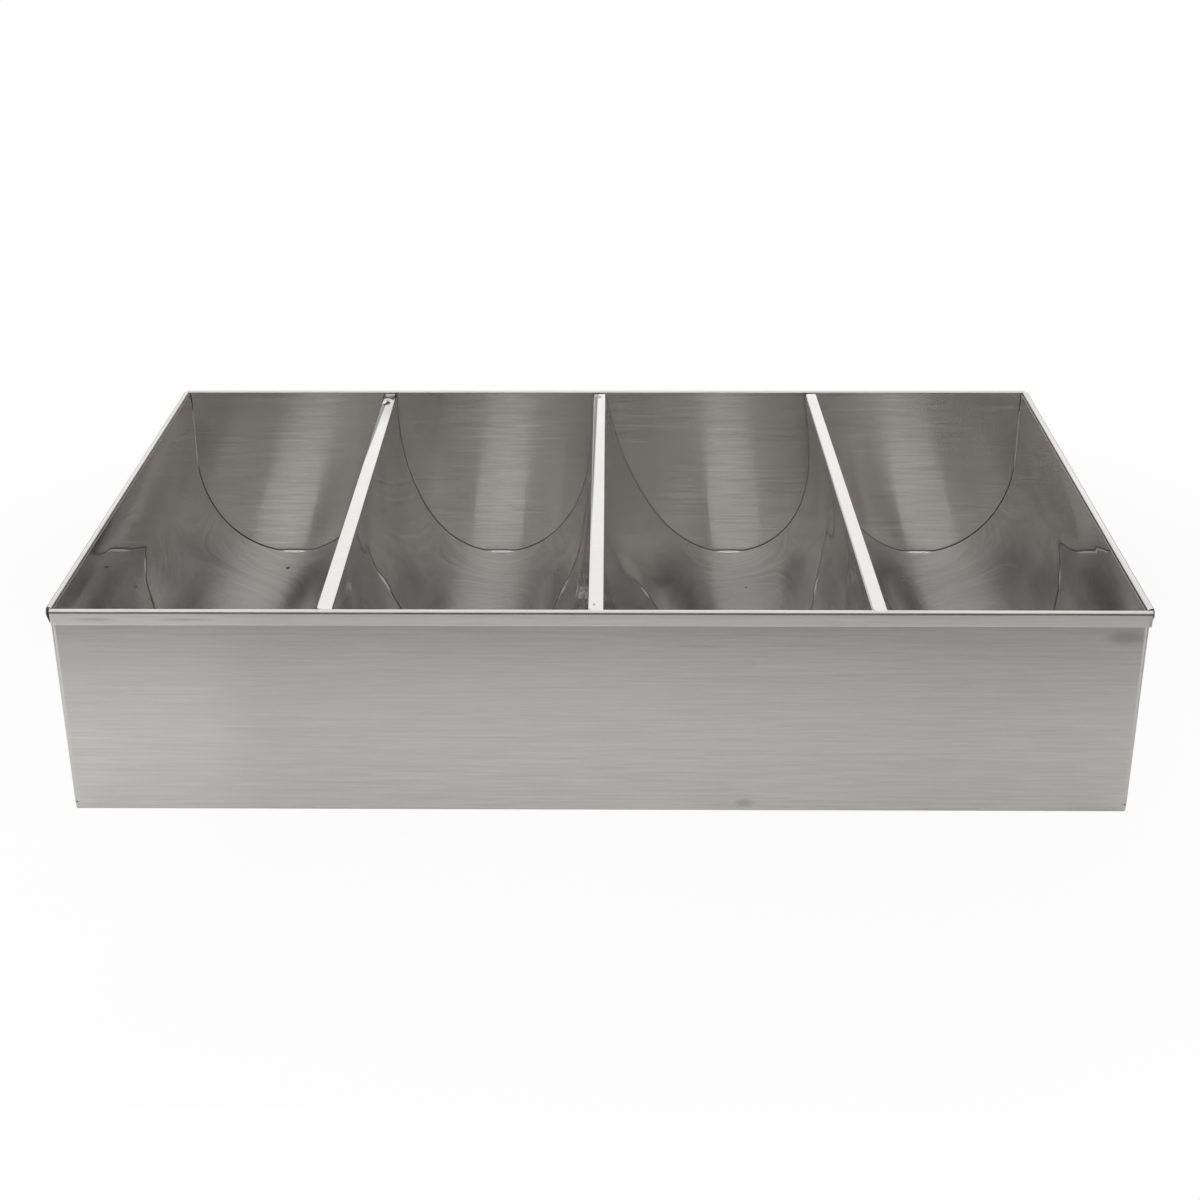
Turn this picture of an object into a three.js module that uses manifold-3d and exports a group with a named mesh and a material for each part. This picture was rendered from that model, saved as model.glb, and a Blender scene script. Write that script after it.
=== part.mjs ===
// Cutlery bin: a sheet-steel box with hemmed rims, holding four round-bottomed troughs side by side.
// Millimetres. +X runs along the front from left to right, +Y to the back, +Z up.
// The origin is under the middle of the base, on the surface that the bin stands on.

import * as THREE from 'three';
import { mergeVertices } from 'three/addons/utils/BufferGeometryUtils.js';
import Module from 'manifold-3d';

const wasm = await Module();
wasm.setup();

// Driving dimensions: the box
const BIN_LENGTH = 483; // over the hems of the two side panels
const BIN_DEPTH = 298; // over the hems of the front and back walls
const BIN_HEIGHT = 101.5; // from the underside of the base to the top of the rim
const SHEET = 0.7; // thickness of every sheet
const FIT_GAP = 0.3; // clearance between sheets that lie on each other
const BEND_INSIDE = 1.2; // inside radius of the bends between walls, base and tabs
const HEM_HEIGHT = 7.5; // from the top of the rim to the cut edge of the hem
const HEM_GAP = 1.1; // open space inside the folded hem
const TAB_WIDTH = 14; // corner tabs of the wrap-round body, from the face of the wall
const TAB_HEM_GAP = 1.5; // from the cut edge of the hem down to the top of a corner tab
const CORNER_RELIEF = 1.1; // from the bend of a side panel's foot up to the foot of a corner tab
const SIDE_FOOT = 14; // foot flange of a side panel, from the face of the panel

// Driving dimensions: the troughs
const DIVIDER_WIDTH = 6.6; // between the inner faces of two neighbouring troughs
const DIVIDER_DROP = 2; // from the top of the rim down to the top of the dividers
const SHOULDER_INSIDE = 0.5; // inside radius of the bend from a trough's side into its flange
const FLANGE_CORNER = 2.5; // radius of the two corners at the ends of a flange
const FLANGE_SETBACK = 0.5; // from an upper flange's cut edge to the left neighbour's inner face
const TROUGH_END_GAP = 1.2; // from a trough's end to the bend at the foot of the front or back wall
const PLAIN_SIDE = 38; // straight top of the two outermost trough sides, along the side panels
const BELLY_HEIGHT = 23.5; // how far up the bottom's roundness holds
const BELLY_FLAT = 27.5; // half-width over which the bottom stays nearly level
const BOTTOM_SHIFTS = [-5, -2, 13, 5]; // the lowest line of each trough, to the right of its middle

// Steps of the round stretches
const BEND_STEPS = 4;
const SIDE_STEPS = 26;

// Heights and faces worked out from these
const BEND = BEND_INSIDE + SHEET / 2; // bend radii are held at the middle of the sheet
const BEND_OUTSIDE = BEND_INSIDE + SHEET;
const HEM_BEND = (HEM_GAP + SHEET) / 2;
const HEM_STANDOUT = HEM_GAP + SHEET;
const SIDE_FACE = BIN_LENGTH / 2 - HEM_STANDOUT; // outer face of a side panel
const WALL_FACE = BIN_DEPTH / 2 - HEM_STANDOUT; // outer face of the front and back walls
const HEM_EDGE = BIN_HEIGHT - HEM_HEIGHT;
const BODY_END = SIDE_FACE - SHEET - FIT_GAP; // the body's tabs lie inside the side panels
const SIDE_END = WALL_FACE - BEND_OUTSIDE; // the side panels end where the tabs' bends begin
const TAB_FOOT = SHEET + FIT_GAP + BEND_OUTSIDE + CORNER_RELIEF;
const TROUGH_END = WALL_FACE - BEND_OUTSIDE - TROUGH_END_GAP;
const TROUGH_SIDE = BODY_END - SHEET - FIT_GAP - SHEET; // inner face of the outermost trough sides
const TROUGH_FLOOR = SHEET + FIT_GAP + SHEET / 2; // middle of the sheet at a trough's lowest line
const DIVIDER_TOP = BIN_HEIGHT - DIVIDER_DROP;
const TROUGH_COUNT = BOTTOM_SHIFTS.length;
const TROUGH_WIDTH = (2 * TROUGH_SIDE - (TROUGH_COUNT - 1) * DIVIDER_WIDTH) / TROUGH_COUNT;

const vector = ([x, y]) => new THREE.Vector2(x, y);

// The middle line of a folded sheet through corners given as [x, y, bend radius].
// Each point of the line keeps the direction that the sheet runs in there.
function foldLine(corners) {
  const line = [];
  const addPoint = (point, along) => {
    const last = line[line.length - 1];
    if (!last || last.point.distanceTo(point) > SHEET / 1000) line.push({ point, along });
  };
  corners.forEach((corner, index) => {
    const here = vector(corner);
    const before = vector(corners[Math.max(index - 1, 0)]);
    const after = vector(corners[Math.min(index + 1, corners.length - 1)]);
    const bend = corner[2];
    if (!bend) {
      addPoint(here, after.sub(before).normalize());
      return;
    }
    const back = before.sub(here).normalize();
    const ahead = after.sub(here).normalize();
    const halfAngle = Math.acos(back.dot(ahead)) / 2;
    const centre = back.clone().add(ahead).setLength(bend / Math.sin(halfAngle)).add(here);
    const start = back.clone().multiplyScalar(bend / Math.tan(halfAngle)).add(here);
    const turn = (Math.PI - 2 * halfAngle) * Math.sign(ahead.cross(back));
    for (let step = 0; step <= BEND_STEPS; step += 1) {
      const angle = (turn * step) / BEND_STEPS;
      const along = back.clone().negate().rotateAround(new THREE.Vector2(), angle);
      addPoint(start.clone().rotateAround(centre, angle), along);
    }
  });
  return line;
}

// The closed outline of a sheet, half its thickness to each side of its middle line.
function sheetOutline(line) {
  const side = (distance) =>
    line.map(({ point, along }) => new THREE.Vector2(-along.y, along.x).multiplyScalar(distance).add(point));
  return new THREE.Shape([...side(-SHEET / 2), ...side(SHEET / 2).reverse()]);
}

const X = new THREE.Vector3(1, 0, 0);
const Y = new THREE.Vector3(0, 1, 0);
const Z = new THREE.Vector3(0, 0, 1);

// A shape drawn in (Y, Z) and drawn out along X, half to each side of the middle.
function drawnAlongX(shape, length) {
  const geometry = new THREE.ExtrudeGeometry(shape, { depth: length, bevelEnabled: false });
  geometry.translate(0, 0, -length / 2);
  return geometry.applyMatrix4(new THREE.Matrix4().makeBasis(Y, Z, X));
}

// A shape drawn in (X, Z) and drawn out along Y, half to each side of the middle.
function drawnAlongY(shape, length) {
  const geometry = new THREE.ExtrudeGeometry(shape, { depth: length, bevelEnabled: false });
  geometry.translate(0, 0, -length / 2);
  return geometry.applyMatrix4(new THREE.Matrix4().makeBasis(X, Z, Y.clone().negate()));
}

// A shape drawn in (X, Y) and raised from one height to another.
function raised(shape, bottom, top) {
  const geometry = new THREE.ExtrudeGeometry(shape, { depth: top - bottom, bevelEnabled: false });
  return geometry.translate(0, 0, bottom);
}

function solid(geometry) {
  geometry.deleteAttribute('normal');
  geometry.deleteAttribute('uv');
  const merged = mergeVertices(geometry);
  const vertProperties = new Float32Array(merged.attributes.position.array);
  const triVerts = new Uint32Array(merged.index.array);
  return new wasm.Manifold(new wasm.Mesh({ numProp: 3, vertProperties, triVerts }));
}

function geometryOf(body) {
  const { vertProperties, triVerts } = body.getMesh();
  const geometry = new THREE.BufferGeometry();
  geometry.setAttribute('position', new THREE.BufferAttribute(vertProperties, 3));
  geometry.setIndex(new THREE.BufferAttribute(triVerts, 1));
  geometry.computeVertexNormals();
  return geometry;
}

const brushedSteel = { color: 0xb4b2ad, roughness: 0.35, metalness: 1 };

function piece(name, body) {
  const mesh = new THREE.Mesh(geometryOf(body), new THREE.MeshStandardMaterial(brushedSteel));
  mesh.name = name;
  return mesh;
}

// Corners of an outward hem, from its cut edge over the fold to the wall whose outer face is given.
function hemCorners(face, outward) {
  const flap = face + outward * (HEM_GAP + SHEET / 2);
  const wall = face - outward * (SHEET / 2);
  const fold = BIN_HEIGHT - SHEET / 2;
  return [
    [flap, HEM_EDGE, 0],
    [flap, fold, HEM_BEND],
    [wall, fold, HEM_BEND],
  ];
}

// Front wall, base and back wall in one sheet, drawn out along the bin, with tabs bent round its corners.
function wrapBody() {
  const wall = WALL_FACE - SHEET / 2;
  const profile = foldLine([
    ...hemCorners(-WALL_FACE, -1),
    [-wall, SHEET / 2, BEND],
    [wall, SHEET / 2, BEND],
    ...hemCorners(WALL_FACE, 1).reverse(),
  ]);
  const bentSheet = solid(drawnAlongX(sheetOutline(profile), 2 * BODY_END));

  // At each corner the wall's end is cut away from the relief at its foot up to the hem, and carries a tab.
  const cutStart = BODY_END - BEND_OUTSIDE;
  let body = bentSheet;
  for (const right of [-1, 1]) {
    for (const back of [-1, 1]) {
      const cutOut = new THREE.Shape(
        [
          [cutStart, WALL_FACE - BEND_OUTSIDE],
          [BODY_END + SHEET, WALL_FACE - BEND_OUTSIDE],
          [BODY_END + SHEET, WALL_FACE + SHEET],
          [cutStart, WALL_FACE + SHEET],
        ].map(([x, y]) => new THREE.Vector2(right * x, back * y)),
      );
      const tabLine = foldLine([
        [right * (cutStart - BEND_OUTSIDE), back * wall, 0],
        [right * (BODY_END - SHEET / 2), back * wall, BEND],
        [right * (BODY_END - SHEET / 2), back * (WALL_FACE - TAB_WIDTH), 0],
      ]);
      body = body.subtract(solid(raised(cutOut, TAB_FOOT, HEM_EDGE)));
      body = body.add(solid(raised(sheetOutline(tabLine), TAB_FOOT, HEM_EDGE - TAB_HEM_GAP)));
    }
  }
  return body;
}

// One side panel: hem, wall and a foot flange that lies on the base.
// side is -1 for the left panel and 1 for the right one.
function sidePanel(side) {
  const wall = side * (SIDE_FACE - SHEET / 2);
  const foot = SHEET + FIT_GAP + SHEET / 2;
  const profile = foldLine([
    ...hemCorners(side * SIDE_FACE, side),
    [wall, foot, BEND],
    [side * (SIDE_FACE - SIDE_FOOT), foot, 0],
  ]);
  return solid(drawnAlongY(sheetOutline(profile), 2 * SIDE_END));
}

// A trough's side in the middle of its sheet, from its top down to the trough's lowest line.
// A flanged side swells to the trough's own width and leans to where its flange is held.
// A plain side stands flat along the side panel before it curves.
function sideCurve(top, height, bottom, isFlanged) {
  const outward = Math.sign(top - bottom);
  const start = new THREE.Vector2(top, isFlanged ? height : height - PLAIN_SIDE);
  const belly = isFlanged ? bottom + (outward * (TROUGH_WIDTH + SHEET)) / 2 : top;
  const curve = new THREE.CubicBezierCurve(
    start,
    new THREE.Vector2(belly, TROUGH_FLOOR + BELLY_HEIGHT),
    new THREE.Vector2(bottom + outward * BELLY_FLAT, TROUGH_FLOOR),
    new THREE.Vector2(bottom, TROUGH_FLOOR),
  ).getPoints(SIDE_STEPS);
  return isFlanged ? curve : [new THREE.Vector2(top, height), ...curve];
}

// A plate seen from above, between two ends in X, with its own corner radius at each end.
function roundedPlan(left, leftRound, right, rightRound, halfDepth) {
  const plan = new THREE.Shape();
  const arcs = [
    [right - rightRound, rightRound - halfDepth, rightRound],
    [right - rightRound, halfDepth - rightRound, rightRound],
    [left + leftRound, halfDepth - leftRound, leftRound],
    [left + leftRound, leftRound - halfDepth, leftRound],
  ];
  arcs.forEach(([x, y, radius], quarter) => {
    const start = ((quarter - 1) * Math.PI) / 2;
    plan.absarc(x, y, radius, start, start + Math.PI / 2);
  });
  return plan;
}

// One trough. Its left flange lies on the left neighbour's right flange; the outermost sides are plain.
function trough(index) {
  const leftFace = -TROUGH_SIDE + index * (TROUGH_WIDTH + DIVIDER_WIDTH);
  const rightFace = leftFace + TROUGH_WIDTH;
  const bottom = (leftFace + rightFace) / 2 + BOTTOM_SHIFTS[index];
  const hasLeftFlange = index > 0;
  const hasRightFlange = index < TROUGH_COUNT - 1;

  // The upper flange reaches nearly across the divider, and the lower one ends under the upper one's bend.
  const upperFlange = DIVIDER_TOP - SHEET / 2;
  const lowerFlange = upperFlange - SHEET - FIT_GAP;
  const leftEdge = leftFace - DIVIDER_WIDTH + FLANGE_SETBACK;
  const rightEdge = rightFace + DIVIDER_WIDTH - SHEET - SHOULDER_INSIDE - FIT_GAP;
  const shoulder = SHOULDER_INSIDE + SHEET / 2;

  const leftTop = hasLeftFlange ? upperFlange : DIVIDER_TOP;
  const rightTop = hasRightFlange ? lowerFlange : DIVIDER_TOP;
  const leftCurve = sideCurve(leftFace - SHEET / 2, leftTop, bottom, hasLeftFlange);
  const rightCurve = sideCurve(rightFace + SHEET / 2, rightTop, bottom, hasRightFlange).reverse();
  const corners = [...leftCurve, ...rightCurve.slice(1)].map((point) => [point.x, point.y, 0]);
  if (hasLeftFlange) {
    corners[0][2] = shoulder;
    corners.unshift([leftEdge, upperFlange, 0]);
  }
  if (hasRightFlange) {
    corners[corners.length - 1][2] = shoulder;
    corners.push([rightEdge, lowerFlange, 0]);
  }
  const bentSheet = solid(drawnAlongY(sheetOutline(foldLine(corners)), 2 * TROUGH_END));

  // Seen from above, the ends of each flange have rounded corners, and the plain sides are left whole.
  const plan = roundedPlan(
    hasLeftFlange ? leftEdge : leftFace - 2 * SHEET,
    hasLeftFlange ? FLANGE_CORNER : 0,
    hasRightFlange ? rightEdge : rightFace + 2 * SHEET,
    hasRightFlange ? FLANGE_CORNER : 0,
    TROUGH_END,
  );
  return bentSheet.intersect(solid(raised(plan, 0, BIN_HEIGHT)));
}

const cutleryBin = new THREE.Group();
cutleryBin.name = 'cutlery_bin';
cutleryBin.add(piece('wrap_body', wrapBody()));
cutleryBin.add(piece('left_side_panel', sidePanel(-1)));
cutleryBin.add(piece('right_side_panel', sidePanel(1)));
for (let index = 0; index < TROUGH_COUNT; index += 1) {
  cutleryBin.add(piece(`trough_${index + 1}`, trough(index)));
}

export default cutleryBin;
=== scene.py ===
# Cutlery bin of stainless sheet: a wrap-round body, two side panels and four lapped troughs.
# Metres, in the frame of the solids: +X along the front to the right, +Y to the back, +Z up.

import math

import bmesh
import bpy
from mathutils import Matrix, Vector


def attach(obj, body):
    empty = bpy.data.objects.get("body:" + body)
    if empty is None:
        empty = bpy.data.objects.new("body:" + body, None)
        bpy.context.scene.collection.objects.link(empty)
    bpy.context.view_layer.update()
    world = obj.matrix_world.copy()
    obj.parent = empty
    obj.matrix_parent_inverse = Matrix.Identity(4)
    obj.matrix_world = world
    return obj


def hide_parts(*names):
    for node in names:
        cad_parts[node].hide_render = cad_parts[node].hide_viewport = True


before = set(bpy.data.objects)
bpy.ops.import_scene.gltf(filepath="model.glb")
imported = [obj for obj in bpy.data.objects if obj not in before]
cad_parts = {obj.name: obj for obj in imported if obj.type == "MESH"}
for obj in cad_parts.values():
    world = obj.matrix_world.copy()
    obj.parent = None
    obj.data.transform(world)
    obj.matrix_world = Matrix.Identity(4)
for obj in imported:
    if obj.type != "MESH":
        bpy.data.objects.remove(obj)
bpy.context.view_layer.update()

MM = 0.001
QUARTER = math.pi / 2

# Points nearer than NEAR count as one place, and edges above LONG_EDGE as a side of the sheet
NEAR = 0.01 * MM
LONG_EDGE = 1 * MM

# The box
BIN_LENGTH = 483 * MM
BIN_DEPTH = 298 * MM
BIN_HEIGHT = 101.5 * MM
SHEET = 0.7 * MM
FIT_GAP = 0.3 * MM
SIDE_GAP = 0.05 * MM
BEND = 1.55 * MM
DEBURRING = 0.12 * MM
DEBURRED_ANGLE = math.radians(50)
SMOOTH_ANGLE = math.radians(35)
TAB_WIDTH = 14 * MM
FRONT_TAB_GAP = 0.4 * MM
BACK_TAB_GAP = 4.5 * MM
TAB_FOOT = 4 * MM
SIDE_FOOT = 14 * MM

# The hems: a lean brings a flap nearer to its wall, and slack rounds the outside of a fold
HEM_HEIGHT = 7.5 * MM
HEM_GAP = 1.1 * MM
HEM_LIP = 0.7 * MM
HEM_LIP_TURN = 0.2 * MM
FRONT_HEM_LEAN = 0.65 * MM
BACK_HEM_LEAN = 0.2 * MM
SIDE_HEM_LEAN = 0.9 * MM
WALL_HEM_SLACK = 1.5 * MM
SIDE_HEM_SLACK = 3.6 * MM
LEFT_HEM_BULGE = 0.3 * MM
RIGHT_HEM_BULGE = 0.9 * MM
BULGE_HEIGHT = 1.6 * MM
FLAP_OPENING = 0.3 * MM
HEM_RUN_ON = 0.9 * MM

# The troughs
DIVIDER_WIDTH = 6.6 * MM
DIVIDER_TOP = BIN_HEIGHT - 2 * MM
SHOULDER = 0.85 * MM
FLANGE_CORNER = 2.2 * MM
FLANGE_SETBACK = 0.5 * MM
FLANGE_ZONE = 4 * MM
PLAIN_SIDE = 38 * MM
PLAIN_SHIFT = 0.3 * MM
PLAIN_TOP = DIVIDER_TOP + 0.5 * MM
LEFT_FLARE = 0.65 * MM
RIGHT_FLARE = 0
FLARE_HEIGHT = 12 * MM
BELLY_HEIGHT = 23.5 * MM
BELLY_FLAT = 27.5 * MM
BOTTOM_SHIFTS = [-5 * MM, -2 * MM, 13 * MM, 5 * MM]
TROUGH_END_GAP = 0.9 * MM
STRAY_REACH = 75 * MM
STIFF_TOP = 12 * MM

# For each divider, in millimetres: how far its left and right faces stray sideways and how far
# its top rises, in front and behind; how much of its lower flange shows beside its upper one
# in front, where the lap widens and behind; how far its upper and lower flanges are cut back
# behind; and how far its lower flange goes aside and up at its end
DIVIDERS = [
    {
        "left": (-0.05, -3.6), "right": (0.75, -2.4), "rise": (0.3, 0),
        "strips": (0.5, 1.2, 3.3), "cuts": (9, 0.4), "lip": (0.8, 1.9),
    },
    {
        "left": (-1.5, -3.4), "right": (-0.75, -2.8), "rise": (0, 1.4),
        "strips": (0.8, 1.7, 2.6), "cuts": (2.2, 1.6), "lip": (0, 0.7),
    },
    {
        "left": (2.5, -2.85), "right": (3.1, -2.75), "rise": (0, 1.4),
        "strips": (0.5, 0.5, 0.5), "cuts": (1.9, 1.9), "lip": (0, 0),
    },
]
LAP_START = 45 * MM
LAP_CORNER_REACH = 15 * MM
FRONT_CUT = 1.9 * MM

# Places worked out from these
BEND_OUTSIDE = BEND + SHEET / 2
HEM_STANDOUT = HEM_GAP + SHEET
SIDE_FACE = BIN_LENGTH / 2 - HEM_STANDOUT
WALL_FACE = BIN_DEPTH / 2 - HEM_STANDOUT
WALL_MIDDLE = WALL_FACE - SHEET / 2
HEM_EDGE = BIN_HEIGHT - HEM_HEIGHT
BODY_END = SIDE_FACE - SHEET - SIDE_GAP
SIDE_END = WALL_FACE - BEND_OUTSIDE
TROUGH_END = WALL_FACE - SHEET - TROUGH_END_GAP
TROUGH_SIDE = SIDE_FACE - 3 * SHEET - 2 * FIT_GAP
TROUGH_FLOOR = SHEET + FIT_GAP + SHEET / 2
TROUGH_COUNT = len(BOTTOM_SHIFTS)
TROUGH_WIDTH = (2 * TROUGH_SIDE - (TROUGH_COUNT - 1) * DIVIDER_WIDTH) / TROUGH_COUNT

# The back end of a lower flange folds up at LIP_FOLD, and its flat part leaves out the bend
LIP_FOLD = TROUGH_END - 2.4 * MM
LIP_START = TROUGH_END - 2 * MM
LIP_FLAT = DIVIDER_WIDTH - 2 * MM


def left_face_of(index):
    """Where a trough's inside starts on its left."""
    return -TROUGH_SIDE + index * (TROUGH_WIDTH + DIVIDER_WIDTH)


def stray_at(strays, y):
    """How far a divider's face strays at one depth, between its front and its back."""
    front, behind = strays
    return (front + (behind - front) * (y + TROUGH_END) / (2 * TROUGH_END)) * MM


def lower_bend_at(index, y):
    """Where a divider's lower flange bends up from its trough."""
    return left_face_of(index) + TROUGH_WIDTH + stray_at(DIVIDERS[index]["left"], y)


# Finishes

class Value:
    """A number that varies over a surface, so that shader maths reads as sums."""

    def __init__(self, finish, socket):
        self.finish = finish
        self.socket = socket

    def sum_of(self, operation, first, second):
        return self.finish.node("ShaderNodeMath", {"operation": operation}, {0: first, 1: second})

    def __add__(self, other):
        return self.sum_of("ADD", self, other)

    def __radd__(self, other):
        return self.sum_of("ADD", other, self)

    def __sub__(self, other):
        return self.sum_of("SUBTRACT", self, other)

    def __rsub__(self, other):
        return self.sum_of("SUBTRACT", other, self)

    def __mul__(self, other):
        return self.sum_of("MULTIPLY", self, other)

    def __rmul__(self, other):
        return self.sum_of("MULTIPLY", other, self)


class Finish:
    """One material, or the world, and the nodes that make it."""

    def __init__(self, name, owner=None):
        self.material = owner or bpy.data.materials.new(name)
        self.material.use_nodes = True
        self.tree = self.material.node_tree
        self.tree.nodes.clear()

    def node(self, kind, settings, sockets, output=0):
        """Adds a node with its settings and the values or links of its sockets."""
        node = self.tree.nodes.new(kind)
        for setting, value in settings.items():
            setattr(node, setting, value)
        for name, value in sockets.items():
            if isinstance(value, Value):
                self.tree.links.new(value.socket, node.inputs[name])
            else:
                node.inputs[name].default_value = value
        return Value(self, node.outputs[output]) if node.outputs else None


def place_of(finish):
    return finish.node("ShaderNodeTexCoord", {}, {}, "Object")


def part_of(finish, place, axis):
    return finish.node("ShaderNodeSeparateXYZ", {}, {"Vector": place}, axis)


def marks(finish, lengths):
    """Uneven marks of these lengths along X, Y and Z, from about -0.5 to 0.5."""
    scale = [1 / length for length in lengths]
    stretched = finish.node("ShaderNodeMapping", {}, {"Vector": place_of(finish), "Scale": scale})
    sockets = {"Vector": stretched, "Scale": 1, "Detail": 2, "Roughness": 0.6}
    return finish.node("ShaderNodeTexNoise", {}, sockets) - 0.5


def how_far(finish, middle, reach):
    """Distance from a point in units of a reach along each axis."""
    sockets = {0: place_of(finish), 1: middle}
    offset = finish.node("ShaderNodeVectorMath", {"operation": "SUBTRACT"}, sockets)
    share = finish.node("ShaderNodeVectorMath", {"operation": "DIVIDE"}, {0: offset, 1: reach})
    return finish.node("ShaderNodeVectorMath", {"operation": "LENGTH"}, {0: share}, "Value")


def ease(finish, value, start, end):
    """Goes smoothly from 0 to 1 as a value goes from start to end."""
    sockets = {"Value": value, "From Min": start, "From Max": end}
    return finish.node("ShaderNodeMapRange", {"interpolation_type": "SMOOTHSTEP"}, sockets)


def blend(finish, share, first, second):
    """Goes from the first colour to the second as a share goes from 0 to 1."""
    first, second = (
        colour if isinstance(colour, Value) else (*colour, 1) for colour in (first, second)
    )
    return finish.node("ShaderNodeMix", {"data_type": "RGBA"}, {0: share, 6: first, 7: second}, 2)


def spots(finish, places, inside):
    """Places in millimetres, each strong up to a share of its reach and fading to 0 at it."""
    amounts = []
    for middle, reach, strength in places:
        middle, reach = ([length * MM for length in lengths] for lengths in (middle, reach))
        amounts.append(strength * (1 - ease(finish, how_far(finish, middle, reach), inside, 1)))
    return sum(amounts)


def surface(finish, sockets):
    shader = finish.node("ShaderNodeBsdfPrincipled", {}, sockets)
    finish.node("ShaderNodeOutputMaterial", {}, {"Surface": shader})
    return finish.material


# The steels go unevenly from a darker tone to a lighter one
WALL_TONES = (0.549, 0.537, 0.515), (0.831, 0.815, 0.787)
TROUGH_TONES = (0.35, 0.347, 0.336), (0.61, 0.605, 0.589)
EDGE_TONES = (0.12, 0.118, 0.114), (0.24, 0.235, 0.228)
FOLD_GREY = (0.4, 0.394, 0.382)
SMUDGE_GREY = (0.5, 0.49, 0.475)
# A grey for the stains and for the painted reflections in the troughs
STAIN_AND_REFLECTION_GREY = (0.17, 0.168, 0.163)
# A black for painted shade in the seams and for the dark marks on a flange's end
MARK_AND_SHADE_BLACK = (0.06, 0.059, 0.057)
PIT_BLACK = (0.05, 0.049, 0.047)

# The marks on the steel are in millimetres: where each is, how far it reaches and how strong it is

# Faint smudges on the front
FRONT = -WALL_FACE / MM
SMUDGES = [
    ((230, FRONT, 88.5), (12, 4, 5), 0.9),
    ((241, FRONT, 97), (4, 4, 9), 0.9),
    ((-220, FRONT, 97), (14, 4, 1.6), 0.9),
    ((-180, FRONT, 97), (20, 4, 1.2), 0.9),
    ((66, FRONT, 4.5), (6, 4, 3), 0.9),
]

# Soft dark patches in the troughs. Those on the outer troughs' sides near the front are a painted
# reflection of the front wall, and the one on the first divider's back end is painted shade that
# dims its reflection. The rest darken the floors and sides in soft patches
STAINS_AND_PAINTED_REFLECTIONS = [
    ((-162, 92, 8), (20, 60, 25), 0.69),
    ((-104, 35, 28), (15, 50, 25), 0.7),
    ((-26, 53, 19), (12, 45, 20), 0.61),
    ((37, 60, 18), (20, 48, 24), 0.66),
    ((106, 80, 16), (10, 45, 20), 0.56),
    ((158, 80, 8), (26, 75, 30), 0.61),
    ((233, 16, 36), (14, 42, 25), 0.66),
    ((228, 78, 26), (22, 50, 30), 0.28),
    ((-237, -76, 76), (12, 62, 42), 0.6),
    ((237, -76, 76), (12, 62, 42), 1),
    ((-237, 20, 80), (12, 90, 40), 0.29),
    ((237, 20, 80), (12, 90, 40), 0.17),
    ((-121, 132, 99.5), (8, 45, 4), 0.43),
    ((-174, 97, 3), (14, 45, 12), 0.26),
    ((-114, 69, 54), (10, 45, 25), 0.28),
    ((80, 90, 2), (20, 50, 12), 0.17),
    ((196, 89, 3), (20, 50, 12), 0.19),
]

# Dark marks on the end of the first divider's lower flange: painted shade that dims its turned-up
# end, a dark slit where it turns up, and a dark mark at its left corner
LIP_MARKS_AND_SHADE = [
    ((-123, 144.6, 99), (9, 5, 4), 0.2),
    ((-123, 143.2, 98.8), (7, 1.1, 2), 0.6),
    ((-127, 143.5, 99.5), (2.2, 5, 5), 0.7),
]

# Pits that the spot welds left in the floors and on the dividers
WELD_PITS = [
    ((-185, 122, 2), (1.4, 2.6, 2), 0.8),
    ((-26, 81, 19), (1.2, 2, 2), 0.6),
    ((80.5, 94, 2), (0.8, 1.3, 2), 0.6),
    ((170, 102, 4), (1.5, 2.4, 2), 0.6),
    ((-123.4, 131.6, 99.3), (2.6, 4.2, 2.5), 1),
    ((-3.1, 138.5, 100), (1.7, 3, 3), 0.5),
    ((-1.9, -137.8, 99.5), (0.8, 1.4, 2), 0.45),
]

# Seams where an upper flange ends on a lower one, with painted shade along them: the divider, where
# the painted shade in its seam starts and where it is full, and where it ends
SEAMS = [
    (0, (20 * MM, 60 * MM), 135 * MM),
    (1, (-120 * MM, 40 * MM), 144 * MM),
]
SHADE_FADE = 4 * MM

# Folding dulled the tops of the hems, more and more between these heights
DULL_START = BIN_HEIGHT - 2.2 * MM
DULL_FULL = BIN_HEIGHT - 1 * MM


def make_brushed_steel(name, grain, anisotropy, dulling):
    """Satin sheet. grain is 0 for brush lines along X and 1 for lines along Y."""
    steel = Finish(name)

    def lines(along, across):
        lengths = [across] * 3
        lengths[grain] = along
        return marks(steel, lengths)

    fine = lines(30 * MM, 0.6 * MM)
    streaks = lines(150 * MM, 1.8 * MM)
    clouds = marks(steel, [70 * MM] * 3)
    mottle = marks(steel, [6 * MM, 6 * MM, 2.5 * MM])
    tone = 0.5 + fine * 1.1 + streaks * 0.25 + clouds * 0.2 + mottle * 0.12
    clean = blend(steel, tone, *WALL_TONES)

    height = part_of(steel, place_of(steel), "Z")
    on_fold = ease(steel, height, DULL_START, DULL_FULL)
    folded = blend(steel, on_fold * dulling, clean, FOLD_GREY)
    return surface(steel, {
        "Base Color": blend(steel, spots(steel, SMUDGES, 0.2), folded, SMUDGE_GREY),
        "Metallic": 1,
        "Roughness": 0.24 + fine * 0.08 + clouds * 0.05,
        "Anisotropic": anisotropy,
        "Anisotropic Rotation": 0.25,
    })


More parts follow.
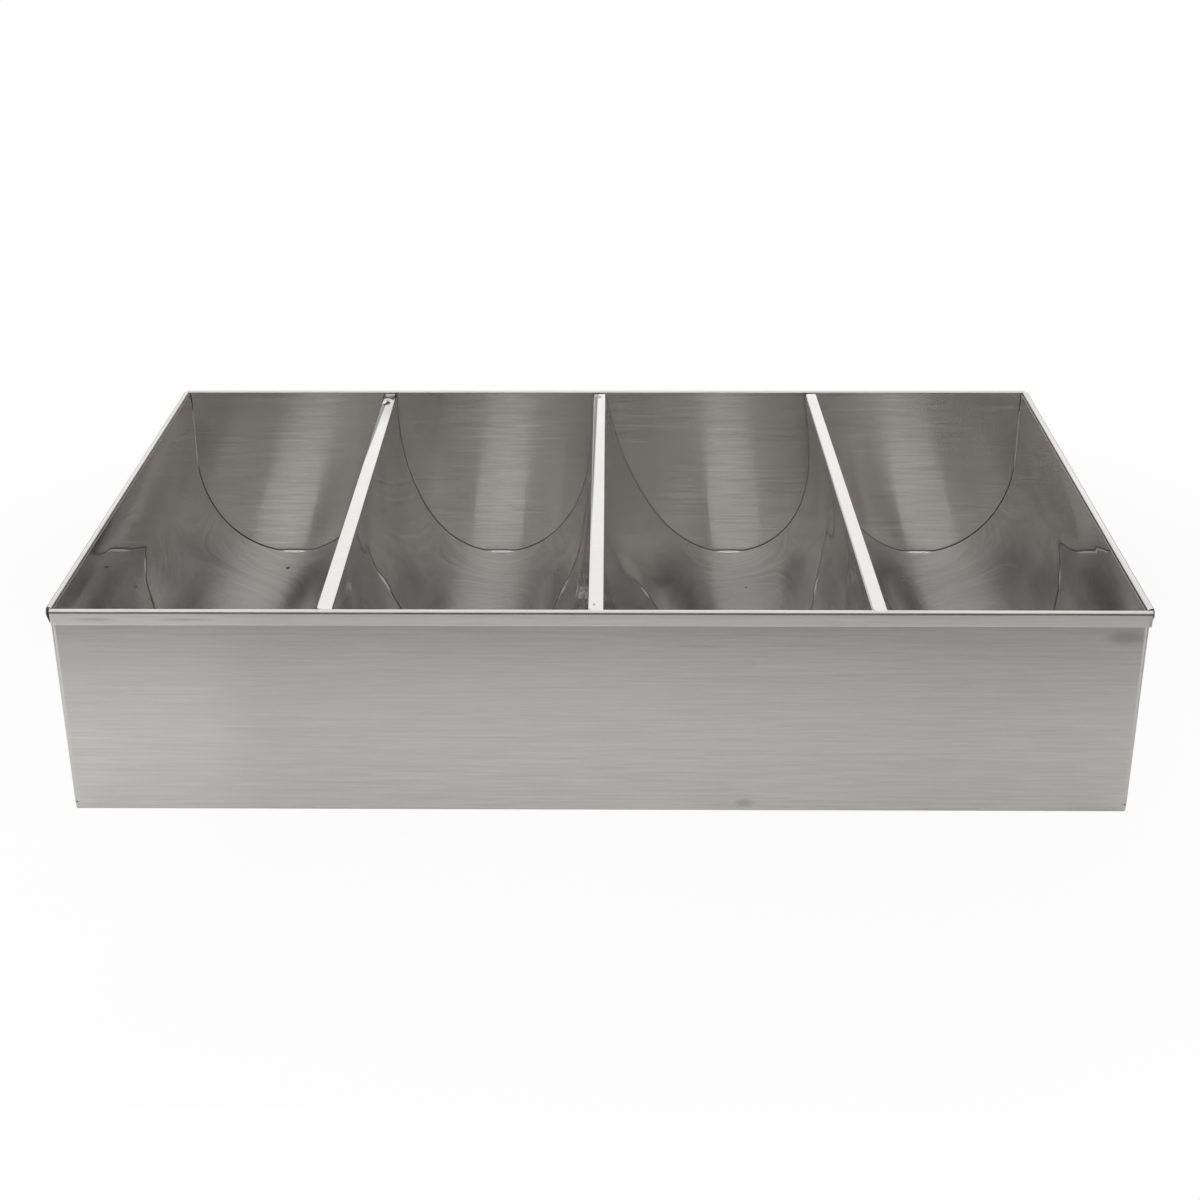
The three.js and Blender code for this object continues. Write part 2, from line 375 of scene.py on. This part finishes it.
def make_trough_steel():
    """Half-bright sheet, with fine lines across each trough."""
    steel = Finish("trough_steel")
    fine = marks(steel, (40 * MM, 0.5 * MM, 40 * MM))
    streaks = marks(steel, (70 * MM, 2.2 * MM, 70 * MM))
    clouds = marks(steel, [45 * MM] * 3)
    across, depth, height = (part_of(steel, place_of(steel), axis) for axis in "XYZ")
    on_top = ease(steel, height, DIVIDER_TOP - 2 * MM, DIVIDER_TOP - 1 * MM)
    tone = 0.5 + (fine * 0.8 + streaks * 0.15) * (1 - on_top * 0.7) + clouds * 0.22
    clean = blend(steel, tone, *TROUGH_TONES)
    # Stains, and painted reflections on the outer troughs' sides and on the first divider's end
    stains_and_reflections = blend(steel, spots(steel, STAINS_AND_PAINTED_REFLECTIONS, 0.2), clean, STAIN_AND_REFLECTION_GREY)

    def beside(first, second):
        """Distance across from a line between two places, each (across, depth)."""
        lean = (second[0] - first[0]) / (second[1] - first[1])
        return across - depth * lean - (first[0] - lean * first[1])

    # Painted shade lies in the seams and on the lower flanges beside them, added to the marks on the
    # first divider's lip
    marks_and_shade = spots(steel, LIP_MARKS_AND_SHADE, 0.6)
    for index, (start, full), end in SEAMS:
        bends = [(lower_bend_at(index, y), y) for y in (LAP_START, TROUGH_END)]
        strips = DIVIDERS[index]["strips"][1:]
        seams = [(x + strip * MM, y) for (x, y), strip in zip(bends, strips)]
        from_seam = beside(*seams)
        distance = steel.node("ShaderNodeMath", {"operation": "ABSOLUTE"}, {0: from_seam})
        line = 1 - ease(steel, distance, 0.3 * MM, 0.7 * MM)
        on_strip = ease(steel, beside(*bends), 0.4 * MM, 0.9 * MM)
        # Painted shade on the strip of the lower flange beside the seam
        strip_shade = on_strip * (1 - ease(steel, from_seam, -0.3 * MM, 0.3 * MM))
        fading = ease(steel, depth, end - SHADE_FADE, end)
        stretch = ease(steel, depth, start, full) * (1 - fading)
        marks_and_shade = marks_and_shade + (line * 0.3 + strip_shade * 0.95) * on_top * stretch
    # The marks and the painted shade darken the steel
    marked_and_shaded = blend(steel, marks_and_shade, stains_and_reflections, MARK_AND_SHADE_BLACK)

    # The pits are sunk, dark and matt
    pits = spots(steel, WELD_PITS, 0.55)
    relief = (fine + streaks * 0.25) * 0.06 - pits * 4
    bump = {"Strength": 1, "Distance": 0.05 * MM, "Height": relief}
    return surface(steel, {
        "Base Color": blend(steel, pits, marked_and_shaded, PIT_BLACK),
        "Metallic": 1,
        "Roughness": 0.03 + clouds * 0.02 + pits * 0.6,
        "Normal": steel.node("ShaderNodeBump", {}, bump),
    })


def make_sheared_edge():
    """Where the sheet was cut: rougher and darker than its faces."""
    edge = Finish("sheared_edge")
    nicks = marks(edge, [0.8 * MM] * 3)
    return surface(edge, {
        "Base Color": blend(edge, 0.5 + nicks, *EDGE_TONES),
        "Metallic": 1,
        "Roughness": 0.45 + nicks * 0.2,
    })


wall_steel = make_brushed_steel("wall_steel", grain=0, anisotropy=0.92, dulling=0.3)
side_steel = make_brushed_steel("side_steel", grain=1, anisotropy=0.92, dulling=0.7)
base_steel = make_brushed_steel("base_steel", grain=0, anisotropy=0, dulling=0)
trough_steel = make_trough_steel()
sheared_edge = make_sheared_edge()


# Bench work: one sheet at a time is cut, folded, given its thickness and deburred

def deselect_all():
    bpy.ops.object.select_all(action="DESELECT")


def pick(kind, chosen):
    """In edit mode, selects the vertices, edges or faces whose middle point passes a test."""
    bpy.ops.mesh.select_mode(type=kind)
    bpy.ops.mesh.select_all(action="DESELECT")
    sheet = bpy.context.edit_object.data
    parts = bmesh.from_edit_mesh(sheet)
    for part in {"VERT": parts.verts, "EDGE": parts.edges, "FACE": parts.faces}[kind]:
        points = [part.co] if kind == "VERT" else [vertex.co for vertex in part.verts]
        middle = sum(points, Vector()) / len(points)
        if chosen(middle, points):
            part.select_set(True)
    parts.select_flush_mode()
    bmesh.update_edit_mesh(sheet)


def move(step):
    bpy.ops.transform.translate(value=step)


def pull(step):
    """Draws the selected edges out by one step, which leaves the new edges selected."""
    bpy.ops.mesh.extrude_edges_move(TRANSFORM_OT_translate={"value": step})


def cut_across(y):
    """Divides the selected faces at one depth."""
    bpy.ops.mesh.bisect(plane_co=(0, y, 0), plane_no=(0, 1, 0))


def fold_sheet(name, section, reach, runs_along_x):
    """Pulls one straight edge through the corners of a section, each (across, height)."""
    deselect_all()
    across, height = section[0]
    size = 2 * reach
    place = (0, across + reach, height) if runs_along_x else (across + reach, 0, height)
    bpy.ops.mesh.primitive_plane_add(size=size, location=place)
    sheet = bpy.context.object
    sheet.name = name
    sheet.data.name = name
    bpy.ops.object.transform_apply(location=True, rotation=True, scale=True)
    bpy.ops.object.mode_set(mode="EDIT")
    side = 1 if runs_along_x else 0
    pick("VERT", lambda middle, points: middle[side] > across + reach)
    bpy.ops.mesh.delete(type="VERT")
    bpy.ops.mesh.select_mode(type="EDGE")
    bpy.ops.mesh.select_all(action="SELECT")
    for before, after in zip(section, section[1:]):
        over, up = after[0] - before[0], after[1] - before[1]
        pull((0, over, up) if runs_along_x else (over, 0, up))
    return sheet


def round_bend(corner, radius, turn, segments, runs_along_x):
    """Rounds the fold that runs along the sheet at one corner of its section."""
    side = 1 if runs_along_x else 0
    run = 1 - side

    def on_fold(middle, points):
        along = abs(points[0][run] - points[1][run]) > LONG_EDGE
        return along and abs(middle[side] - corner[0]) < NEAR and abs(middle[2] - corner[1]) < NEAR

    pick("EDGE", on_fold)
    offset = radius * math.tan(turn / 2)
    bpy.ops.mesh.bevel(offset=offset, segments=segments, affect="EDGES", clamp_overlap=False)


def apply_modifier(piece, name, kind, **settings):
    modifier = piece.modifiers.new(name, kind)
    for setting, value in settings.items():
        setattr(modifier, setting, value)
    bpy.ops.object.modifier_apply(modifier=modifier.name)


def close_sheet():
    """Ends the work on a folded sheet: no doubles, and one side facing out."""
    bpy.ops.mesh.select_all(action="SELECT")
    bpy.ops.mesh.remove_doubles(threshold=NEAR)
    bpy.ops.mesh.normals_make_consistent(inside=False)
    bpy.ops.object.mode_set(mode="OBJECT")


def give_thickness(sheet, steel, edge):
    """Gives the folded sheet its thickness and finish, and breaks its cut edges a little."""
    sheet.data.materials.append(steel)
    sheet.data.materials.append(edge)
    apply_modifier(
        sheet, "thickness", "SOLIDIFY",
        thickness=SHEET, offset=0, use_even_offset=True, material_offset_rim=1,
    )
    apply_modifier(
        sheet, "deburring", "BEVEL",
        width=DEBURRING, segments=2, limit_method="ANGLE", angle_limit=DEBURRED_ANGLE,
    )
    bpy.ops.object.shade_smooth_by_angle(angle=SMOOTH_ANGLE)
    apply_modifier(
        sheet, "flat_faces", "WEIGHTED_NORMAL",
        mode="FACE_AREA", weight=80, keep_sharp=True,
    )


def give_faces_finish(sheet, finish, chosen):
    """Gives one more finish to the faces that pass a test."""
    sheet.data.materials.append(finish)
    bpy.ops.object.mode_set(mode="EDIT")
    pick("FACE", chosen)
    sheet.active_material_index = len(sheet.data.materials) - 1
    bpy.ops.object.material_slot_assign()
    bpy.ops.object.mode_set(mode="OBJECT")


# The body

BEND_STEPS = 6
HEM_STEPS = 8
BULGE_STEPS = 4


def hem(face, outward, lean, slack, bulge=0):
    """The middle of the sheet through an outward hem, from its cut edge over the fold to the wall."""
    half = HEM_STANDOUT / 2 - NEAR
    middle = face + outward * (HEM_GAP / 2)
    fold = BIN_HEIGHT - SHEET / 2 - NEAR
    turns = [QUARTER * step / HEM_STEPS for step in range(HEM_STEPS + 1)]

    # The outer side of the fold is slack, and the inner one is tight
    outer = [
        (middle + outward * half * math.cos(turn), fold - slack * (1 - math.sin(turn)))
        for turn in turns
    ]
    inner = [
        (middle - outward * (half + bulge) * math.sin(turn), fold - half * (1 - math.cos(turn)))
        for turn in turns[1:]
    ]

    # A fold that bulges inwards comes back to the wall below
    if bulge:
        for step in range(1, BULGE_STEPS + 1):
            down = step / BULGE_STEPS
            still_in = bulge * (1 - down * down * (3 - 2 * down))
            inner.append((middle - outward * (half + still_in), fold - half - BULGE_HEIGHT * down))
    flap = middle + outward * (half - lean)
    lip = [(flap - outward * HEM_LIP_TURN, HEM_EDGE), (flap, HEM_EDGE + HEM_LIP)]
    return [*lip, *outer, *inner]


def is_upright(points):
    return abs(points[0].z - points[1].z) > LONG_EDGE


def make_wrap_body():
    """Front wall, base and back wall in one sheet, with tabs bent round its corners."""
    front_hem = hem(-WALL_FACE, -1, FRONT_HEM_LEAN, WALL_HEM_SLACK)
    back_hem = hem(WALL_FACE, 1, BACK_HEM_LEAN, WALL_HEM_SLACK)
    front_foot, back_foot = (-WALL_MIDDLE, SHEET / 2), (WALL_MIDDLE, SHEET / 2)
    section = [*front_hem, front_foot, back_foot, *reversed(back_hem)]
    sheet = fold_sheet("body_wrap_sheet", section, BODY_END, True)
    for foot in (front_foot, back_foot):
        round_bend(foot, BEND, QUARTER, BEND_STEPS, True)

    # The front hem runs on a little at its right end, where its flap is pressed home less
    def on_right_lip(middle, points):
        in_lip = middle.z < HEM_EDGE + HEM_LIP + NEAR
        return middle.x > 0 and middle.y < -WALL_FACE and in_lip

    def on_right_hem(middle, points):
        return middle.x > 0 and middle.y < -WALL_MIDDLE and middle.z > HEM_EDGE - NEAR

    pick("VERT", on_right_lip)
    move((0, -FLAP_OPENING, 0))
    pick("VERT", on_right_hem)
    move((HEM_RUN_ON, 0, 0))

    # The wall's four ends are cut away from the relief at the foot to the top of the tab
    cut = BODY_END - BEND_OUTSIDE
    for x in (-cut, cut):
        bpy.ops.mesh.select_all(action="SELECT")
        bpy.ops.mesh.bisect(plane_co=(x, 0, 0), plane_no=(1, 0, 0))
    tab_tops = {-1: HEM_EDGE - FRONT_TAB_GAP, 1: HEM_EDGE - BACK_TAB_GAP}
    for z in (TAB_FOOT, *tab_tops.values(), HEM_EDGE):
        pick("FACE", lambda middle, points: abs(abs(middle.y) - WALL_MIDDLE) < NEAR)
        bpy.ops.mesh.bisect(plane_co=(0, 0, z), plane_no=(0, 0, 1))

    def beside_tab(middle, points):
        return abs(middle.x) > cut and TAB_FOOT < middle.z < tab_tops[math.copysign(1, middle.y)]

    pick("FACE", beside_tab)
    bpy.ops.mesh.delete(type="FACE")

    # Each end carries a tab that turns the corner
    tab = BODY_END - SHEET / 2
    for right in (-1, 1):
        for back in (-1, 1):
            def on_end(middle, points):
                inside = TAB_FOOT < middle.z < tab_tops[back]
                here = abs(middle.x - right * cut) < NEAR and middle.y * back > 0
                return is_upright(points) and inside and here

            pick("EDGE", on_end)
            pull((right * (tab - cut), 0, 0))
            pull((0, -back * (TAB_WIDTH - SHEET / 2), 0))

            def on_corner(middle, points):
                at_tab = abs(middle.x - right * tab) < NEAR
                return is_upright(points) and at_tab and abs(middle.y - back * WALL_MIDDLE) < NEAR

            pick("EDGE", on_corner)
            bpy.ops.mesh.bevel(offset=BEND, segments=BEND_STEPS, affect="EDGES", clamp_overlap=False)

    # Above its tabs the back wall covers the ends of the side panels
    for right in (-1, 1):
        def above_tab(middle, points):
            at_wall_end = middle.x * right > BODY_END - NEAR and middle.y > 0
            return at_wall_end and middle.z > tab_tops[1] - NEAR

        pick("VERT", above_tab)
        move((right * SHEET, 0, 0))
    close_sheet()
    give_thickness(sheet, wall_steel, sheared_edge)

    # The base shows no grain
    def on_base(middle, points):
        return middle.z < SHEET + NEAR and abs(middle.y) < WALL_FACE - 2 * BEND_OUTSIDE

    give_faces_finish(sheet, base_steel, on_base)
    return sheet


def make_side_panel(name, side, bulge):
    """Hem, wall and a foot flange that lies on the base. side is -1 for left and 1 for right."""
    corners = hem(side * SIDE_FACE, side, SIDE_HEM_LEAN, SIDE_HEM_SLACK, bulge)
    foot = (side * (SIDE_FACE - SHEET / 2), TROUGH_FLOOR)
    section = [*corners, foot, (side * (SIDE_FACE - SIDE_FOOT), TROUGH_FLOOR)]
    sheet = fold_sheet(name, section, SIDE_END, False)
    round_bend(foot, BEND, QUARTER, BEND_STEPS, False)
    close_sheet()
    give_thickness(sheet, side_steel, base_steel)

    # The open ends of the hem get the dark cut-edge finish: painted shade for the hollow of the hem
    # seen end-on
    def on_hem_end(middle, points):
        return abs(middle.x) > SIDE_FACE and abs(middle.y) > SIDE_END - NEAR

    give_faces_finish(sheet, sheared_edge, on_hem_end)
    return sheet


# The troughs

BELLY_STEPS = 36
FLARE_STEPS = 5
SHOULDER_STEPS = 5
CORNER_STEPS = 5
CROSS_STEPS = 48

# A flange is cut back in steps, each a share of the cut for all that lies above a depth
FLANGE_CUT_STEPS = [(0.5, 0.05 * MM), (0.2, 0.3 * MM), (0.3, 0.6 * MM)]

# A trough's end curls up in steps: how far from the lowest line each reaches, and how far all that
# lies beyond that, and within CURL_ZONE of the end, is drawn out
CURL_LENGTH = 1 * MM
CURL_ZONE = 1.15 * MM
CURL_RISE = 0.4 * MM
CURL_STEPS = [(3.5 * MM, 0.15 * MM), (6 * MM, 0.3 * MM), (8.5 * MM, 0.4 * MM)]

# The waves in a trough's sheet: along which axis they push it, how long and how deep they are
WAVES = [("X", 45 * MM, 0.9 * MM), ("Z", 60 * MM, 0.5 * MM)]


def side_curve(top, height, bottom, is_flanged, flare):
    """A trough's side in the middle of its sheet, from its top down to the lowest line."""
    outward = math.copysign(1, top - bottom)
    belly = bottom + outward * (TROUGH_WIDTH + SHEET) / 2 if is_flanged else top
    holds = [
        Vector((top, height if is_flanged else DIVIDER_TOP - PLAIN_SIDE)),
        Vector((belly, TROUGH_FLOOR + BELLY_HEIGHT)),
        Vector((bottom + outward * BELLY_FLAT, TROUGH_FLOOR)),
        Vector((bottom, TROUGH_FLOOR)),
    ]
    curve = []
    for step in range(BELLY_STEPS + 1):
        t = step / BELLY_STEPS
        shares = ((1 - t) ** 3, 3 * t * (1 - t) ** 2, 3 * t * t * (1 - t), t ** 3)
        point = sum((share * hold for share, hold in zip(shares, holds)), Vector((0, 0)))
        curve.append((point.x, point.y))
    if is_flanged:
        return curve

    # A plain side may flare at its top, where it is welded to the side panel
    upright = []
    for step in range(FLARE_STEPS + 1):
        drop = step / FLARE_STEPS
        upright.append((top + outward * flare * (1 - drop) ** 2, height - FLARE_HEIGHT * drop))
    return [*upright, *curve]


def turn_between(before, corner, after):
    there = Vector(corner) - Vector(before)
    onward = Vector(after) - Vector(corner)
    return there.angle(onward)


def at_end(x, reach, back):
    """A test for the points of a flange's end near one x."""
    def chosen(middle, points):
        in_end = middle.y * back > TROUGH_END / 2
        return abs(middle.x - x) < reach and in_end and middle.z > DIVIDER_TOP - FLANGE_ZONE
    return chosen


def trim_flange(edge, cuts):
    """Cuts a flange back in front and behind, and rounds its two outer corners."""
    edge_x, height = edge
    for back, cut in zip((-1, 1), cuts):
        for share, drop in FLANGE_CUT_STEPS:
            def on_flange(middle, points):
                near = abs(middle.x - edge_x) < DIVIDER_WIDTH + SHOULDER
                return near and middle.y * back > 0 and middle.z > height - drop

            pick("VERT", on_flange)
            move((0, -back * cut * share, 0))
        pick("VERT", at_end(edge_x, NEAR, back))
        bpy.ops.mesh.bevel(
            offset=FLANGE_CORNER, segments=CORNER_STEPS, affect="VERTICES", clamp_overlap=False,
        )


def stray(side_x, asides, rises):
    """Pushes the ends of a flanged side to where its divider really is, and lets its belly follow."""
    for back, aside, rise in zip((-1, 1), asides, rises):
        pick("VERT", at_end(side_x, DIVIDER_WIDTH, back))
        bpy.ops.transform.translate(
            value=(aside * MM, 0, rise * MM),
            use_proportional_edit=True, use_proportional_connected=True,
            proportional_edit_falloff="SMOOTH", proportional_size=STRAY_REACH,
        )


def lap_flange(edge_x, index):
    """Moves the edge of an upper flange, so that a strip of the lower one shows beside it."""
    divider = DIVIDERS[index]
    bpy.ops.mesh.select_all(action="SELECT")
    cut_across(LAP_START)
    for y, strip in zip((-TROUGH_END, LAP_START, TROUGH_END), divider["strips"]):
        now = edge_x + stray_at(divider["right"], y)
        wanted = lower_bend_at(index, y) + strip * MM

        def on_edge(middle, points):
            in_corner = abs(middle.x - now) < FLANGE_CORNER + NEAR
            here = in_corner and abs(middle.y - y) < LAP_CORNER_REACH
            return here and middle.z > DIVIDER_TOP - FLANGE_ZONE

        pick("VERT", on_edge)
        move((wanted - now, 0, 0))


def finish_lower_flange(edge_x, index):
    """Widens a lower flange as its divider widens, and turns its end up."""
    divider = DIVIDERS[index]
    for back, left, right in zip((-1, 1), divider["left"], divider["right"]):
        pick("VERT", at_end(edge_x + left * MM, FLANGE_CORNER + NEAR, back))
        move(((right - left) * MM, 0, 0))
    pick("FACE", lambda middle, points: middle.x > edge_x - 2 * DIVIDER_WIDTH)
    cut_across(LIP_FOLD)

    # Its end turns up, and the flat part of it, without the bend, goes aside
    aside, up = divider["lip"]
    end_x = edge_x + divider["left"][1] * MM
    whole, flat = (at_end(end_x, reach, 1) for reach in (DIVIDER_WIDTH, LIP_FLAT))
    pick("VERT", lambda middle, points: whole(middle, points) and middle.y > LIP_START)
    move((0, 0, up * MM))
    pick("VERT", lambda middle, points: flat(middle, points) and middle.y > LIP_START)
    move((aside * MM, 0, 0))


def cross_cut(reach, count):
    """Divides a sheet that runs along Y, so that it can buckle."""
    for step in range(1, count):
        bpy.ops.mesh.select_mode(type="FACE")
        bpy.ops.mesh.select_all(action="SELECT")
        cut_across(-reach + 2 * reach * step / count)


def curl_end(bottom):
    """Curls the back end of a trough's lowest line up a little, where it meets the wall's bend."""
    bpy.ops.mesh.select_all(action="SELECT")
    cut_across(TROUGH_END - CURL_LENGTH)
    for reach, draw in CURL_STEPS:
        def on_edge(middle, points):
            return abs(middle.x - bottom) < reach and middle.y > TROUGH_END - NEAR

        def beyond(middle, points):
            near_end = TROUGH_END - CURL_ZONE < middle.y < TROUGH_END - NEAR
            return abs(middle.x - bottom) > reach and near_end

        pick("VERT", on_edge)
        move((0, 0, CURL_RISE))
        pick("VERT", beyond)
        move((0, draw, 0))


def buckle(sheet):
    """Gives a thin sheet, below its stiff top, the slight waves that its mirror finish shows."""
    sheet.vertex_groups.new(name="slack")
    bpy.ops.object.mode_set(mode="EDIT")
    pick("VERT", lambda middle, points: middle.z < DIVIDER_TOP - STIFF_TOP)
    bpy.ops.object.vertex_group_assign()
    bpy.ops.mesh.select_all(action="SELECT")
    bpy.ops.object.vertex_group_smooth(factor=0.5, repeat=20)
    bpy.ops.object.mode_set(mode="OBJECT")
    for axis, length, depth in WAVES:
        waves = bpy.data.textures.new(f"waves_along_{axis}", "CLOUDS")
        waves.noise_scale = length
        waves.noise_depth = 0
        apply_modifier(
            sheet, f"waves_{axis}", "DISPLACE",
            texture=waves, texture_coords="LOCAL", direction=axis,
            strength=depth, mid_level=0.5, vertex_group="slack",
        )


def make_trough(index):
    """One trough. Its left flange lies on the left neighbour's right flange."""
    left_face = left_face_of(index)
    right_face = left_face + TROUGH_WIDTH
    bottom = (left_face + right_face) / 2 + BOTTOM_SHIFTS[index]
    has_left, has_right = index > 0, index < TROUGH_COUNT - 1
    upper = DIVIDER_TOP - SHEET / 2
    lower = upper - SHEET - FIT_GAP
    left_edge = (left_face - DIVIDER_WIDTH + FLANGE_SETBACK, upper)
    right_edge = (right_face + DIVIDER_WIDTH - SHEET - SHOULDER + SHEET / 2, lower)
    left_top = (left_face - SHEET / 2, upper)
    right_top = (right_face + SHEET / 2, lower)
    if not has_left:
        left_top = (left_top[0] - PLAIN_SHIFT, PLAIN_TOP)
    if not has_right:
        right_top = (right_top[0] + PLAIN_SHIFT, PLAIN_TOP)
    left = side_curve(*left_top, bottom, has_left, LEFT_FLARE)
    right = side_curve(*right_top, bottom, has_right, RIGHT_FLARE)
    section = left + right[-2::-1]
    if has_left:
        section.insert(0, left_edge)
    if has_right:
        section.append(right_edge)

    sheet = fold_sheet(f"trough_{index + 1}_sheet", section, TROUGH_END, False)
    if has_left:
        round_bend(section[1], SHOULDER, turn_between(*section[:3]), SHOULDER_STEPS, False)
        trim_flange(left_edge, (FRONT_CUT, DIVIDERS[index - 1]["cuts"][0] * MM))
    if has_right:
        round_bend(section[-2], SHOULDER, turn_between(*section[-3:]), SHOULDER_STEPS, False)
        trim_flange(right_edge, (FRONT_CUT, DIVIDERS[index]["cuts"][1] * MM))
    if has_left:
        stray(left_face, DIVIDERS[index - 1]["right"], DIVIDERS[index - 1]["rise"])
    if has_right:
        stray(right_face, DIVIDERS[index]["left"], DIVIDERS[index]["rise"])
    if has_left:
        lap_flange(left_edge[0], index - 1)
    if has_right:
        finish_lower_flange(right_edge[0], index)
    cross_cut(TROUGH_END, CROSS_STEPS)
    curl_end(bottom)
    close_sheet()
    buckle(sheet)
    give_thickness(sheet, trough_steel, sheared_edge)
    return sheet


def settle(piece, node):
    """Puts a finished piece in the place of its solid."""
    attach(piece, "root")
    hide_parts(node)


settle(make_wrap_body(), "wrap_body")
left_panel = make_side_panel("left_side_sheet", -1, LEFT_HEM_BULGE)
settle(left_panel, "left_side_panel")
right_panel = make_side_panel("right_side_sheet", 1, RIGHT_HEM_BULGE)
settle(right_panel, "right_side_panel")
for number in range(TROUGH_COUNT):
    settle(make_trough(number), f"trough_{number + 1}")


# The table, the studio and the camera

WHITE = (1, 1, 1, 1)
SHADOW_SLANT = 0.228

# The camera's place, its yaw, pitch and roll in degrees, and its lens in millimetres
CAMERA_PLACE = (11.7 * MM, -904.3 * MM, 457 * MM)
CAMERA_TURNS = (-0.82, 24.867, -0.248)
LENS_LENGTH = 57.857
SENSOR_WIDTH = 36


def make_plate(name, size, place, turn=(0, 0, 0)):
    """A flat plate of the studio, which is no part of the bin."""
    deselect_all()
    bpy.ops.mesh.primitive_plane_add(size=1, location=place, rotation=turn)
    plate = bpy.context.object
    plate.name = name
    plate.scale = (*size, 1)
    bpy.ops.object.transform_apply(location=True, rotation=True, scale=True)
    return plate


def rays(finish, *kinds):
    """1 for rays of these kinds, which show the background, and 0 for those that light the bin."""
    shown = [finish.node("ShaderNodeLightPath", {}, {}, kind) for kind in kinds]
    return sum(shown[1:], shown[0])


def make_table_white():
    """White to the camera, with the bin's soft shadow near it."""
    white = Finish("table_white")

    # What the front wall mirrors of the table is painted shade: its tone is lighter at the left,
    # darker at the right and darker still behind the bin
    across, depth = (part_of(white, place_of(white), axis) for axis in "XY")
    slanted = across - SHADOW_SLANT * (depth + WALL_FACE)
    left = ease(white, slanted, -145 * MM, -185 * MM)
    right = ease(white, slanted, -50 * MM, 300 * MM)
    behind = ease(white, depth, -100 * MM, 200 * MM)
    shade = 0.87 + 0.11 * left - 0.15 * right - 0.72 * behind
    tone = white.node("ShaderNodeCombineColor", {}, {0: shade, 1: shade, 2: shade})
    lit = white.node("ShaderNodeBsdfDiffuse", {}, {"Color": tone})
    plain = white.node("ShaderNodeEmission", {}, {"Color": WHITE, "Strength": 1})
    away = ease(white, how_far(white, (0, 0, 0), (1, 1, 1)), 200 * MM, 550 * MM)
    seen = rays(white, "Is Camera Ray", "Is Transmission Ray") * (0.93 + away * 0.07)
    mirrored = rays(white, "Is Glossy Ray") * 0.1
    mixed = white.node("ShaderNodeMixShader", {}, {0: seen + mirrored, 1: lit, 2: plain})
    white.node("ShaderNodeOutputMaterial", {}, {"Surface": mixed})
    white.material.cycles.emission_sampling = "NONE"
    return white.material


def glow(finish, strength):
    """Ends a finish that gives light of its own."""
    light = finish.node("ShaderNodeEmission", {}, {"Color": WHITE, "Strength": strength})
    finish.node("ShaderNodeOutputMaterial", {}, {"Surface": light})
    return finish.material


def make_front_card():
    """The dim side of the studio behind the camera: dark at table height and lighter upwards."""
    card = Finish("front_card")
    height = part_of(card, place_of(card), "Z")
    return glow(card, 0.04 + ease(card, height, 0.5, 1.1) * 1.36)


floor = make_plate("floor", size=(6, 4), place=(0, 1.645, 0))
floor.data.materials.append(make_table_white())

front_card = make_plate("front_card", size=(6, 3), place=(0, -1.5, 0.9), turn=(QUARTER, 0, 0))
front_card.data.materials.append(make_front_card())
front_card.visible_camera = False


def add_dim_card(name, strength, size, place):
    """An upright card beside the bin, which dims what the rims and the dividers reflect."""
    card = make_plate(name, size, place, (0, QUARTER, 0))
    card.data.materials.append(glow(Finish(name), strength))
    card.visible_camera = False


add_dim_card("left_card", strength=0.55, size=(1.6, 3), place=(-1.4, 0, 0.8))
add_dim_card("left_flag", strength=0.25, size=(0.6, 2.8), place=(-1.2, 2.2, 0.3))
add_dim_card("right_flag", strength=0.25, size=(0.6, 2.8), place=(1.2, 2.2, 0.3))


def make_studio_air():
    """Plain light all round, and white where the camera and the steel see the background."""
    world = bpy.data.worlds.new("studio")
    bpy.context.scene.world = world
    air = Finish("studio", world)
    even = air.node("ShaderNodeBackground", {}, {"Color": WHITE, "Strength": 0.75})
    bright = air.node("ShaderNodeBackground", {}, {"Color": WHITE, "Strength": 1})
    shown = rays(air, "Is Camera Ray", "Is Glossy Ray", "Is Transmission Ray")
    around = air.node("ShaderNodeMixShader", {}, {0: shown, 1: even, 2: bright})
    air.node("ShaderNodeOutputWorld", {}, {"Surface": around})


make_studio_air()


def add_softbox(name, power, size, place, aim):
    light = bpy.data.lights.new(name, "AREA")
    light.energy = power
    light.shape = "RECTANGLE"
    light.size, light.size_y = size
    lamp = bpy.data.objects.new(name, light)
    bpy.context.scene.collection.objects.link(lamp)
    lamp.location = place
    lamp.rotation_euler = (Vector(aim) - Vector(place)).to_track_quat("-Z", "Y").to_euler()
    lamp.visible_camera = False


add_softbox("top_softbox", power=1.2, size=(1.4, 1.2), place=(0, 0.1, 1.4), aim=(0, 0, 0))
add_softbox("back_softbox", power=4.1, size=(2.4, 0.9), place=(0, 1.5, 0.85), aim=(0, 0, 0.1))


def add_camera():
    yaw, pitch, roll = (math.radians(angle) for angle in CAMERA_TURNS)
    ahead = math.cos(pitch)
    forward = Vector((math.sin(yaw) * ahead, math.cos(yaw) * ahead, -math.sin(pitch)))
    level = Vector((math.cos(yaw), -math.sin(yaw), 0))
    upright = level.cross(forward)
    right = math.cos(roll) * level + math.sin(roll) * upright
    up = math.cos(roll) * upright - math.sin(roll) * level
    lens = bpy.data.cameras.new("camera")
    lens.sensor_width = SENSOR_WIDTH
    lens.lens = LENS_LENGTH
    camera = bpy.data.objects.new("camera", lens)
    bpy.context.scene.collection.objects.link(camera)
    turn = Matrix((right, up, -forward)).transposed().to_4x4()
    camera.matrix_world = Matrix.Translation(CAMERA_PLACE) @ turn
    bpy.context.scene.camera = camera


add_camera()
bpy.context.scene.view_settings.view_transform = "Standard"

# The troughs reflect one another many times
bpy.context.scene.cycles.glossy_bounces = 12
bpy.context.scene.cycles.max_bounces = 16
